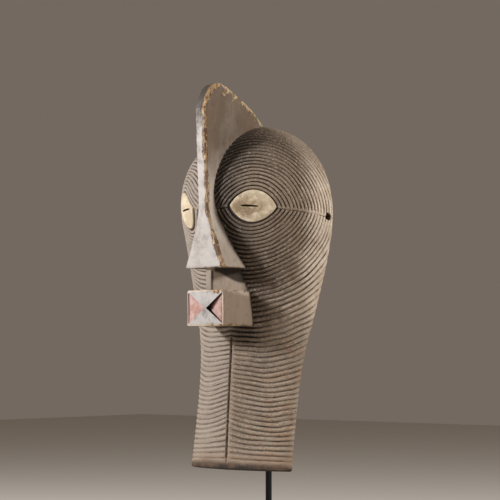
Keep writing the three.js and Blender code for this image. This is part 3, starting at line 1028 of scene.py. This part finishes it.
class Finish:
    def __init__(self, name, look={}):
        self.look = {**paint, **look}
        self.material = bpy.data.materials.new(name)
        self.material.use_nodes = True
        self.tree = self.material.node_tree
        self.tree.nodes.clear()
        footX, footY, footZ = stance["rimFoot"]
        lean = stance["lean"]
        self.place = self.add("ShaderNodeMapping", {"vector_type": "POINT"}, {
            "Vector": self.add("ShaderNodeTexCoord", output="Object"),
            "Location": (
                -footX,
                footZ * math.sin(lean) - footY * math.cos(lean),
                -footY * math.sin(lean) - footZ * math.cos(lean),
            ),
            "Rotation": (lean, 0, 0),
            "Scale": (1 / mm,) * 3,
        })

    def add(self, kind, settings={}, values={}, output=0):
        node = self.tree.nodes.new(kind)
        for name, value in settings.items():
            setattr(node, name, value)
        for name, value in values.items():
            if isinstance(value, Signal):
                self.tree.links.new(value.socket, node.inputs[name])
            else:
                node.inputs[name].default_value = value
        return Signal(self, node.outputs[output])

    def mark(self, name):
        return self.add("ShaderNodeAttribute", {"attribute_name": name}, output="Fac")

    def axes(self):
        node = self.add("ShaderNodeSeparateXYZ", values={0: self.place}).socket.node
        return [Signal(self, socket) for socket in node.outputs]

    # size is in millimetres, one for each axis where the pattern is drawn out
    def pattern(self, kind, dimensions, size, seed, output, values={}):
        stretch = size if isinstance(size, tuple) else (size,) * 3
        place = self.add("ShaderNodeVectorMath", {"operation": "DIVIDE"}, {0: self.place, 1: stretch})
        values = {"Vector": place, "W": seed, "Scale": 1, **values}
        return self.add(kind, {dimensions: "4D"}, values, output)

    def noise(self, size, detail, roughness, seed):
        values = {"Detail": detail, "Roughness": roughness}
        return self.pattern("ShaderNodeTexNoise", "noise_dimensions", size, seed, "Fac", values)

    def cells(self, size, seed):
        return self.pattern("ShaderNodeTexVoronoi", "voronoi_dimensions", size, seed, "Distance")

    # a colour is what is mixed already, or the name of one in the look
    def blend(self, under, over, mask):
        under, over = [tint(*self.look[c]) if isinstance(c, str) else c for c in (under, over)]
        return self.add("ShaderNodeMix", {"data_type": "RGBA"}, {"Factor": mask, 6: under, 7: over}, 2)

    def shade(self, colour, amount):
        grey = self.add("ShaderNodeCombineColor", values={0: amount, 1: amount, 2: amount})
        settings = {"data_type": "RGBA", "blend_type": "MULTIPLY"}
        return self.add("ShaderNodeMix", settings, {"Factor": 1, 6: colour, 7: grey}, 2)

    # height is in millimetres
    def finish(self, colour, roughness, height, specular=0.35):
        bump = self.add("ShaderNodeBump", values={"Height": height * mm, "Strength": 1, "Distance": 1})
        surface = self.add("ShaderNodeBsdfPrincipled", values={
            "Base Color": colour,
            "Roughness": roughness,
            "Normal": bump,
            "Specular IOR Level": specular,
        })
        out = self.tree.nodes.new("ShaderNodeOutputMaterial")
        self.tree.links.new(surface.socket, out.inputs["Surface"])
        return self.material


# x, y and z are millimetres in the mask's own frame, x to its left and z up from the foot of its rim
def groovedWood():
    wood = Finish("groovedWood")
    x, y, z = wood.axes()
    sunk, ring = wood.mark("sunk"), wood.mark("ring")
    patches = wood.noise(34, 5, 0.6, 1)
    grain = wood.noise((2.2, 2.2, 22), 5, 0.6, 2)
    speckle = wood.noise(1.6, 3, 0.65, 3)
    chips = wood.noise(4.5, 4, 0.65, 5)
    flecks = wood.noise((3, 3, 2.2), 5, 0.78, 7)
    strokes = wood.add("ShaderNodeTexNoise", {"noise_dimensions": "1D"}, {
        "W": ring * 4.3 + speckle * 1.6 + wood.noise(14, 2, 0.5, 6) * 2,
        "Scale": 1,
        "Detail": 2,
        "Roughness": 0.6,
    }, "Fac")
    out = x.size()
    # the far half, where x is below 0, is painted paler grey with fainter grooves, partly as painted light
    far = (x * -1).ease(-14, 16)
    low = z.fall(130, 230)
    byRim = y.size().fall(6, 78)
    upper = z.ease(385, 455)
    # painted shade, with some soot, beside the crest on the near half, and a painted shadow under the
    # mouth; both darken the ridges and deepen the grooves there
    shadeAndSootByCrest = out.fall(20, 66) * z.within(140, 230, 440, 485) * (1 - far)
    shadowUnderMouth = z.within(170, 191, 190, 200) * x.within(-14, 6, 24, 52) * 0.85
    sootAndShade = (shadeAndSootByCrest + shadowUnderMouth).below(1)
    cheek = out.within(26, 56, 92, 108) * z.within(110, 180, 270, 350) * (1 - far)

    dull = upper * 0.8 * (1 - byRim * 0.5) + patches.ease(0.5, 0.7) * 0.5
    colour = wood.blend("ridge", "ridgeDark", (dull + cheek * 0.75 + shadeAndSootByCrest * 0.6).below(1))
    colour = wood.blend(colour, "sootAndShadeBrown", sootAndShade * (patches * 0.6 + 0.28).below(0.76))
    pale = (byRim + patches.swing(1.1) + chips.swing(0.7) + strokes.swing(0.6)).ease(0.2, 0.85)
    pale = pale * (1 - upper * 0.75) * (1 - low * 0.66) * (1 - cheek * 0.5) * (1 - sootAndShade * 0.6)
    colour = wood.blend(colour, "ridgePale", pale)
    warm = byRim * (0.4 + low * 0.4) * wood.noise(20, 4, 0.6, 4).ease(0.42, 0.6)
    colour = wood.blend(colour, "ridgeWarm", warm)
    colour = wood.blend(colour, "ridgeGrey", far * (1 - byRim * 0.4))

    # the grooves' own dark, and a softer painted shade on the ridges' flanks that rounds them, both deeper
    # where shade is painted by the crest and under the mouth
    ragged = sunk + (speckle.swing(0.8) + chips.swing(0.9)) * (1 + low * 0.5)
    dark = (ragged + strokes.swing(0.5) + sootAndShade * 0.34).ease(0.36, 0.74)
    dark = dark * (1 - patches.ease(0.5, 0.66) * 0.3 * (1 - shadeAndSootByCrest)) * (1 - low * 0.35) * (1 - cheek * 0.3)
    groove = wood.blend("groove", "grooveAndShadowBlack", sootAndShade)
    groove = wood.blend(groove, "grooveFaint", far * (0.7 - low * 0.3) + low * 0.1)
    flankShade = (ring.fraction() - 0.5).size().ease(0.06, 0.32) * z.ease(14, 24) * (0.85 + chips.swing(1.2))
    colour = wood.blend(colour, groove, (flankShade * (0.22 + sootAndShade * 0.5 - far * 0.12)).below(0.9))
    colour = wood.blend(colour, groove, dark)
    paleFlecks = flecks.ease(0.55, 0.64) * (1 - dark) * (0.6 - far * 0.4)
    colour = wood.blend(colour, "ridgePale", paleFlecks)
    colour = wood.blend(colour, "groove", flecks.fall(0.36, 0.45) * (0.7 - far * 0.4))
    lit = z.ease(320, 370) * out.ease(50, 75) * 0.07
    shadowed = low * x.ease(0, 14) * (1 - x.ease(50, 90) * 0.5) * 0.17
    unevenly = grain * 0.4 + speckle * 0.5 + chips * 0.45 + strokes * 0.6
    colour = wood.shade(colour, unevenly + 0.04 - shadowed + lit)

    # the lower edge, handled and stained
    band = (z + patches.swing(26)).fall(10, 34)
    colour = wood.blend(colour, "band", band * (0.45 + chips * 0.5))
    footColour = wood.blend("foot", "footDark", patches.ease(0.42, 0.6))
    colour = wood.blend(colour, footColour, (z + speckle.swing(8) + patches.swing(12)).fall(6, 15))
    colour = wood.blend(colour, "footDark", (z + chips.swing(9)).fall(1.5, 5.5) * 0.8)
    height = grain * 0.5 + speckle * 0.5 + chips * 0.9 + strokes * 0.9 + flecks * 0.5
    return wood.finish(colour, grain * 0.2 + 0.64, height)


crestLook = {
    "white": (172, 165, 160),
    "grey": (134, 125, 117),
    "smoky": (56, 47, 38),
    "side": (94, 80, 67),
    "sideGrey": (176, 165, 154),
    "sideTan": (120, 103, 87),
    "sideDark": (66, 56, 47),
    "sideRed": (116, 92, 76),
    "darkFrom": (444, 492),
    "strip": (0.56, 0.76),
}


# where paint is rubbed off an edge down to chipped brown ground
def chipped(finish, colour, amount, more=0.0):
    x, y, z = finish.axes()
    broad = finish.noise((12, 12, 26), 3, 0.55, 14) - 0.5
    ragged = finish.noise(5.5, 5, 0.72, 11) - 0.5
    flakes = finish.noise((4, 4, 8), 4, 0.7, 13)
    back = y.ease(-150, -125) * z.ease(450, 480)
    worn = finish.mark("worn") * (x.ease(-4, 1) * 0.75 + 0.25) + more
    edge = (worn + broad * (back + 0.9) + ragged * (back * 0.9 + 0.9)).ease(*crestLook["strip"])
    bare = finish.blend("chip", "chipDark", (flakes + broad * 0.7).ease(0.46, 0.6))
    bare = finish.blend(bare, "chipPale", flakes.fall(0.32, 0.42).above(back * 0.6) * 0.8)
    return finish.blend(colour, bare, edge * amount), edge


def crestFront():
    front = Finish("crestFront", crestLook)
    z = front.axes()[2]
    mottle = front.noise(18, 5, 0.65, 21)
    scratches = front.noise((1.4, 1.4, 20), 4, 0.6, 22)
    speckle = front.noise(1.5, 3, 0.6, 23)
    colour = front.blend("white", "grey", mottle.ease(0.46, 0.72) * 0.9)
    colour = front.shade(colour, z.ease(300, 345) * 0.08 + 0.92)
    smoky = (z + mottle.swing(60) + scratches.swing(70)).ease(*crestLook["darkFrom"])
    colour = front.blend(colour, "smoky", smoky * 0.95)
    colour = front.shade(colour, scratches * 0.44 + speckle * 0.3 + 0.66)
    colour, edge = chipped(front, colour, 1.0, z.within(300, 335, 400, 440) * -0.15)
    height = scratches * 0.3 + speckle * 0.25 - edge * 0.6
    return front.finish(colour, 0.52 + mottle * 0.2, height)


def smoothSide():
    side = Finish("smoothSide", crestLook)
    x, y, z = side.axes()
    out = x.size()
    mottle = side.noise((22, 22, 46), 6, 0.65, 31)
    blotches = side.noise(9, 5, 0.7, 35)
    scratches = side.noise((1.8, 1.8, 30), 4, 0.6, 32)
    speckle = side.noise(1.5, 3, 0.6, 33)
    onNose = z.fall(290, 330)
    onMouth = z.fall(234, 242)
    high = z.ease(400, 480)
    colour = side.blend("side", "sideGrey", (z + mottle.swing(110)).fall(350, 450) * 0.9)
    colour = side.blend(colour, "sideTan", onNose * 0.5)
    colour = side.blend(colour, "sideTan", onMouth * 0.8)
    red = side.noise((16, 16, 34), 4, 0.6, 34).ease(0.48, 0.66)
    colour = side.blend(colour, "sideRed", red * 0.3)
    colour = side.blend(colour, "sideGrey", high * mottle.fall(0.3, 0.6) * 0.16)
    colour = side.blend(colour, "sideDark", blotches.ease(0.55, 0.7) * (0.25 + high * 0.35))
    # painted shadow of the nose on the septum's sides, deeper towards the face
    under = z - (y - blade["tip"][0]) * level - blade["tip"][1]
    noseShadow = (under + y.ease(-112, -74) * 15).ease(-8, -3.5)
    noseShadow = noseShadow * under.fall(-0.5, 0.8) * out.ease(5.5, 8)
    colour = side.blend(colour, "grooveAndShadowBlack", noseShadow * 0.88)
    # the septum's sides painted lighter as painted light, its front a little darker, with a dark line down
    # each arris
    arrisLine = (out - 5.3).size().fall(0.3, 1.1)
    onSeptum = z.within(236, 240, 264, 268)
    colour = side.shade(colour, 1.0 + onSeptum * (out.ease(5, 7) * 0.38 - 0.12 - arrisLine * 0.6))
    colour = side.shade(colour, scratches * 0.36 + speckle * 0.24 + mottle * 0.36 + 0.54)
    colour, edge = chipped(side, colour, 0.95)
    height = scratches * 0.25 + speckle * 0.2 + blotches * 0.5 - edge * 0.6
    return side.finish(colour, 0.62 + mottle * 0.15 + noseShadow * 0.2, height, specular=0.2)


mouthLook = {
    "white": (166, 160, 157),
    "grey": (130, 121, 116),
    "red": (168, 126, 116),
    "redPale": (190, 160, 151),
    "redDark": (92, 48, 40),
    "cream": (196, 176, 152),
    "olive": (140, 128, 88),
}


def mouthWhite():
    white = Finish("mouthWhite", mouthLook)
    x, _, z = white.axes()
    up = z - mouth["front"][1]
    mottle = white.noise(9, 5, 0.65, 41)
    speckle = white.noise(1.6, 4, 0.65, 42)
    worn = white.mark("worn")
    nearHalf = x.ease(-5, 5)
    colour = white.blend("white", "grey", mottle.ease(0.48, 0.7))
    narrowRim = x.size().ease(30.4, 31.2) * up.size().fall(19, 22)
    colour = white.blend(colour, "redDark", narrowRim * (1 - nearHalf) * 0.55)
    colour = white.blend(colour, "cream", narrowRim * nearHalf * 0.7)
    stain = z.fall(189, 195) * white.noise(12, 3, 0.5, 43).ease(0.42, 0.55)
    colour = white.blend(colour, "olive", stain * 0.6)
    colour = white.blend(colour, "cream", worn.ease(0.56, 0.66) * 0.8)
    # painted shade: the white faces darker towards the mouth's middle, where they would slope inwards, and
    # a little darker on the lower half
    fromMiddle = (x ** 2 + up ** 2) ** 0.5
    light = speckle * 0.4 + up.ease(-8, 8) * 0.08 + fromMiddle.ease(1, 15) * 0.26
    colour = white.shade(colour, light + 0.47)
    byCorner = x.ease(-4, 20) * up.size().ease(12, 20)
    topRight = x.ease(4, 26) * up.ease(15, 21)
    colour, edge = chipped(white, colour, byCorner, worn.ease(0.2, 0.5) * (0.1 + topRight * 0.3))
    return white.finish(colour, 0.6 + mottle * 0.15, speckle * 0.4 - edge * 0.4)


def mouthRed():
    red = Finish("mouthRed", mouthLook)
    x, _, z = red.axes()
    right = x.ease(-10, 10)
    mottle = red.noise(8, 5, 0.65, 51)
    grain = red.noise((1.6, 1.6, 14), 4, 0.6, 52)
    colour = red.blend("red", "redPale", mottle.ease(0.42, 0.62))
    cornerX, cornerUp = mouth["halfWidth"] - mouth["rim"], mouth["halfHeight"] - mouth["rim"]
    # a dark red line along each red triangle's walls, widened at the near triangle's outer edge as the
    # rim's painted shadow
    fromWall = (x.size() * (cornerUp / cornerX) - (z - mouth["front"][1]).size()) * 0.8
    fromRim = cornerX - x.size()
    outline = (fromWall.below(fromRim - right * 1.3) + mottle.swing(2.2)).fall(0.7, 2.6)
    colour = red.blend(colour, "redDark", outline * 0.85)
    # the near triangle, where x is above 0, painted darker, partly as painted shade
    colour = red.shade(colour, grain * 0.3 + 0.92 - right * 0.28)
    return red.finish(colour, 0.66 + mottle * 0.1, grain * 0.5)


eyeLook = {
    "cream": (182, 165, 140),
    "creamPale": (214, 198, 174),
    "stain": (112, 88, 56),
    "ring": (46, 34, 26),
    "stainAt": (51.4, 355),
    "stainReach": (26, 19),
}


def eyePaint():
    lens = Finish("eyePaint", eyeLook)
    x, _, z = lens.axes()
    centreX, centreZ = eyeLook["stainAt"]
    reachX, reachZ = eyeLook["stainReach"]
    away = (((x.size() - centreX) / reachX) ** 2 + ((z - centreZ) / reachZ) ** 2) ** 0.5
    mottle = lens.noise(11, 5, 0.65, 61)
    speckle = lens.noise(1.8, 4, 0.6, 62)
    colour = lens.blend("cream", "creamPale", mottle.ease(0.46, 0.66))
    stained = (away + mottle.swing(2.4) + speckle.swing(0.8)).fall(0.1, 1) * x.ease(-10, 10)
    colour = lens.blend(colour, "stain", stained * 0.8)
    colour = lens.blend(colour, "ring", (lens.mark("sunk") + speckle.swing(0.3)).ease(0.35, 0.8))
    colour = lens.shade(colour, speckle * 0.28 + 0.82)
    return lens.finish(colour, 0.55 + mottle * 0.2, speckle * 0.3 + mottle * 0.8)


rawLook = {"wood": (96, 70, 50), "woodPale": (132, 102, 76), "woodDark": (52, 37, 27)}


def rawWood():
    raw = Finish("rawWood", rawLook)
    patches = raw.noise(30, 5, 0.6, 71)
    grain = raw.noise((1.4, 1.4, 34), 5, 0.65, 72)
    adze = raw.cells(13, 73)
    colour = raw.blend("wood", "woodPale", patches.ease(0.48, 0.7) * 0.8)
    colour = raw.blend(colour, "woodDark", grain.ease(0.56, 0.72) * 0.7)
    colour = raw.shade(colour, adze * 0.25 + 0.85)
    return raw.finish(colour, 0.74 + grain * 0.12, grain * 0.5 + adze * 0.9)


def wornWood():
    worn = Finish("wornWood")
    patches = worn.noise(20, 5, 0.6, 81)
    grain = worn.noise((1.4, 20, 1.4), 5, 0.65, 82)
    colour = worn.blend("foot", "ridgeWarm", patches.ease(0.45, 0.65))
    colour = worn.blend(colour, "footDark", grain.ease(0.55, 0.7) * 0.7)
    return worn.finish(colour, 0.62 + grain * 0.15, grain * 0.5)


# the mouth pockets' walls: dark wood, painted darker still as shade in the recesses
def darkWoodAndShade():
    dark = Finish("darkWoodAndShade")
    grain = dark.noise(3, 4, 0.6, 93)
    colour = dark.blend("grooveAndShadowBlack", "groove", grain.ease(0.4, 0.7))
    return dark.finish(colour, 0.7 + grain * 0.1, grain * 0.4)


def blackSteel():
    steel = Finish("blackSteel", {"black": (9, 9, 9), "dusty": (20, 19, 18)})
    peel = steel.noise(1.4, 2, 0.5, 91)
    dust = steel.noise(30, 4, 0.6, 92)
    colour = steel.blend("black", "dusty", dust.ease(0.45, 0.75) * 0.6)
    return steel.finish(colour, 0.46 + dust * 0.14, peel * 0.12, specular=0.25)


finishes = {
    "grooves": groovedWood(),
    "lens": eyePaint(),
    "front": crestFront(),
    "side": smoothSide(),
    "mouthFront": mouthWhite(),
    "pocket": mouthRed(),
    "raw": rawWood(),
    "rimEdge": wornWood(),
    "pocketWall": darkWoodAndShade(),
}
blackPaint = blackSteel()
print("finishes mixed")


def readAll(owner, name, size, kind):
    values = np.empty(size, kind)
    owner.foreach_get(name, values)
    return values


# new points along a seam take their depth and ring from the points around them
def fillSeams(data):
    count = len(data.vertices)
    known = readAll(data.attributes["known"].data, "value", count, np.float32) > 0.5
    a, b = readAll(data.edges, "vertices", 2 * len(data.edges), np.int32).reshape(-1, 2).T
    for mark in ("sunk", "ring"):
        values = readAll(data.attributes[mark].data, "value", count, np.float32)
        total = np.zeros(count)
        weight = np.zeros(count)
        for here, there in ((a, b), (b, a)):
            carved = known[there] & (values[there] > 0)
            np.add.at(total, here, values[there] * carved)
            np.add.at(weight, here, carved)
        fresh = ~known & (weight > 0)
        values[fresh] = total[fresh] / weight[fresh]
        data.attributes[mark].data.foreach_set("value", values)


# each zone's finish, and the one that takes its place on faces turned to the front
zoneFinish = {
    "grooves": ("grooves",),
    "lens": ("lens",),
    "rimEdge": ("rimEdge",),
    "blade": ("side", "front"),
    "septum": ("side",),
    "mouth": ("side", "mouthFront"),
    "pocket": ("pocketWall", "pocket"),
    "hollow": ("raw",),
    "opening": ("raw",),
}


def finishZones(data):
    count = len(data.polygons)
    zone = readAll(data.attributes["zone"].data, "value", count, np.int32)
    facingFront = -readAll(data.polygons, "normal", 3 * count, np.float32)[1::3] > 0.6
    order = list(finishes)
    chosen = np.zeros(count, np.int32)
    for number, name in enumerate(zones):
        plain, front = zoneFinish[name][0], zoneFinish[name][-1]
        chosen[zone == number] = order.index(plain)
        chosen[(zone == number) & facingFront] = order.index(front)
    data.materials.clear()
    for finish in finishes.values():
        data.materials.append(finish)
    data.polygons.foreach_set("material_index", chosen)


def placeMask():
    data = carveTogether()
    fillSeams(data)
    finishZones(data)
    for mark in ("known", "zone"):
        data.attributes.remove(data.attributes[mark])
    lean = stance["lean"]
    x, y, z = readAll(data.vertices, "co", len(data.vertices) * 3, float).reshape(-1, 3).T
    footX, footY, footZ = stance["rimFoot"]
    leaned = np.stack([
        x + footX,
        y * math.cos(lean) + z * math.sin(lean) + footY,
        z * math.cos(lean) - y * math.sin(lean) + footZ,
    ], -1)
    data.vertices.foreach_set("co", (leaned * mm).ravel())
    smoothUpTo(data, 38)
    data.name = "maskWood"
    return addToScene("maskWood", data)


maskPiece = placeMask()
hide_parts("mask")
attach(maskPiece, "root")
print("mask carved")

# the display rod: a post bent over into a hook, and an arm whose cross bar stops the mask swinging
rod = {
    "radius": 4.4,
    "armRadius": 3.5,
    "sides": 28,
    "post": (0, 48),
    "postFrom": 10.3,
    "straightTo": 530,
    "hook": ((0, 48, 540.6), (0, 48, 545), (0, 43, 573.8), (0, 28, 593)),
    "arm": ((0, 48, 189), (0, -22.5, 189)),
    "bar": ((-28, -22.5, 189), (28, -22.5, 189)),
    "endRound": 1.4,
}


# the line that a bar follows, its radius drawn in a little at both ends
def rodPath(name, points, radius):
    points = np.array(points, float)
    small = rod["endRound"]
    inset = np.array([0, 0.3, 1])[:, None] * small
    start = points[0] + unit(points[1] - points[0]) * inset
    end = points[-1] - unit(points[-1] - points[-2]) * inset[::-1]
    points = np.vstack([start, points[1:-1], end])
    shares = np.ones(len(points))
    shares[[0, -1]] -= 0.75 * small / radius
    shares[[1, -2]] -= 0.25 * small / radius
    data = bpy.data.curves.new(name, "CURVE")
    data.dimensions = "3D"
    line = data.splines.new("POLY")
    line.points.add(len(points) - 1)
    for point, place, share in zip(line.points, points, shares):
        point.co = (*(place * mm), 1)
        point.radius = share
    return addToScene(name, data)


def rodTree():
    tree = bpy.data.node_groups.new("bentRod", "GeometryNodeTree")
    tree.interface.new_socket("Geometry", in_out="OUTPUT", socket_type="NodeSocketGeometry")
    given = {"Geometry": "Geometry", "Rod Radius": "Float", "Rod Sides": "Int", "Paint": "Material"}
    for name, kind in given.items():
        tree.interface.new_socket(name, in_out="INPUT", socket_type="NodeSocket" + kind)
    into = tree.nodes.new("NodeGroupInput")
    ring = tree.nodes.new("GeometryNodeCurvePrimitiveCircle")
    thickness = tree.nodes.new("GeometryNodeInputRadius")
    sweep = tree.nodes.new("GeometryNodeCurveToMesh")
    real = tree.nodes.new("GeometryNodeRealizeInstances")
    painted = tree.nodes.new("GeometryNodeSetMaterial")
    out = tree.nodes.new("NodeGroupOutput")
    sweep.inputs["Fill Caps"].default_value = True
    link = tree.links.new
    link(into.outputs["Rod Sides"], ring.inputs["Resolution"])
    link(into.outputs["Rod Radius"], ring.inputs["Radius"])
    link(into.outputs["Geometry"], sweep.inputs["Curve"])
    link(ring.outputs["Curve"], sweep.inputs["Profile Curve"])
    link(thickness.outputs["Radius"], sweep.inputs["Scale"])
    link(sweep.outputs["Mesh"], real.inputs["Geometry"])
    link(real.outputs["Geometry"], painted.inputs["Geometry"])
    link(into.outputs["Paint"], painted.inputs["Material"])
    link(painted.outputs["Geometry"], out.inputs["Geometry"])
    return tree


def sweptRod(name, points, radius, tree):
    path = rodPath(name, points, radius)
    sweeping = path.modifiers.new("sweep", "NODES")
    sweeping.node_group = tree
    sizes = {"Rod Radius": radius * mm, "Rod Sides": rod["sides"], "Paint": blackPaint}
    for item in tree.interface.items_tree:
        if item.name in sizes:
            sweeping[item.identifier] = sizes[item.name]
    data = modifiedMesh(path)
    bpy.data.objects.remove(path)
    return data


def displayRod():
    tree = rodTree()
    straight = [(*rod["post"], z) for z in np.linspace(rod["postFrom"], rod["straightTo"], 12)]
    work = bmesh.new()
    work.from_mesh(sweptRod("post", [*straight, *smoothLine(rod["hook"])[1:]], rod["radius"], tree))
    for name in ("arm", "bar"):
        work.from_mesh(sweptRod(name, rod[name], rod["armRadius"], tree))
    data = bpy.data.meshes.new("displayRod")
    work.to_mesh(data)
    work.free()
    data.materials.append(blackPaint)
    smoothUpTo(data, 50)
    return addToScene("displayRod", data)


rodPiece = displayRod()
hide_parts("stand_rod")
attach(rodPiece, "root")

plate = {"halfWidth": 90, "halfLength": 100, "thickness": 10, "bevel": 1.5}


def footPlate():
    work = bmesh.new()
    bmesh.ops.create_cube(work, size=2 * mm)
    for point in work.verts:
        x, y, z = point.co
        point.co = (x * plate["halfWidth"], y * plate["halfLength"], (z + mm) * plate["thickness"] / 2)
    data = bpy.data.meshes.new("footPlate")
    work.to_mesh(data)
    work.free()
    piece = addToScene("footPlate", data)
    rounding = piece.modifiers.new("rounding", "BEVEL")
    rounding.width = plate["bevel"] * mm
    rounding.segments = 4
    piece.data = modifiedMesh(piece)
    piece.modifiers.clear()
    piece.data.materials.append(blackPaint)
    smoothUpTo(piece.data, 35)
    return piece


footPiece = footPlate()
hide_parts("stand_foot")
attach(footPiece, "root")
print("stand made")

room = {
    "floor": (214, 208, 200),
    "floorRoughness": 0.8,
    "floorHalf": 4,
    "lit": (0, 0, 0.4),
    "backdrop": (117, 107, 98),
    "key": {"turn": -72, "rise": 20, "away": 1.6, "size": 0.2, "power": 34, "warmth": (0.98, 0.99, 1)},
    "fill": {"turn": 58, "rise": 32, "away": 1.8, "size": 0.4, "power": 29, "warmth": (1, 0.99, 0.96)},
    "sky": 0.96,
}


def studioLight(name, turn, rise, away, size, power, warmth):
    data = bpy.data.lights.new(name, "AREA")
    data.size = size
    data.energy = power
    data.color = warmth
    lamp = addToScene(name, data)
    around = photo["azimuth"] + math.radians(turn)
    up = math.radians(rise)
    way = Vector((math.sin(around) * math.cos(up), -math.cos(around) * math.cos(up), math.sin(up)))
    lamp.location = Vector(room["lit"]) + way * away
    lamp.rotation_euler = way.to_track_quat("Z", "Y").to_euler()


def studio():
    data = bpy.data.meshes.new("floor")
    half = room["floorHalf"]
    corners = [(-half, -half, 0), (half, -half, 0), (half, half, 0), (-half, half, 0)]
    data.from_pydata(corners, [], [(0, 1, 2, 3)])
    floorPiece = addToScene("floor", data)
    floorFinish = bpy.data.materials.new("paleFloor")
    floorFinish.use_nodes = True
    surface = floorFinish.node_tree.nodes["Principled BSDF"].inputs
    surface["Base Color"].default_value = tint(*room["floor"])
    surface["Roughness"].default_value = room["floorRoughness"]
    data.materials.append(floorFinish)
    for name in ("key", "fill"):
        studioLight(name, **room[name])
    world = bpy.data.worlds.new("studioAir")
    bpy.context.scene.world = world
    world.use_nodes = True
    air = world.node_tree.nodes["Background"].inputs
    air["Color"].default_value = tint(*room["backdrop"])
    air["Strength"].default_value = room["sky"]
    bpy.context.scene.view_settings.view_transform = "Standard"


studio()
print("studio lit")
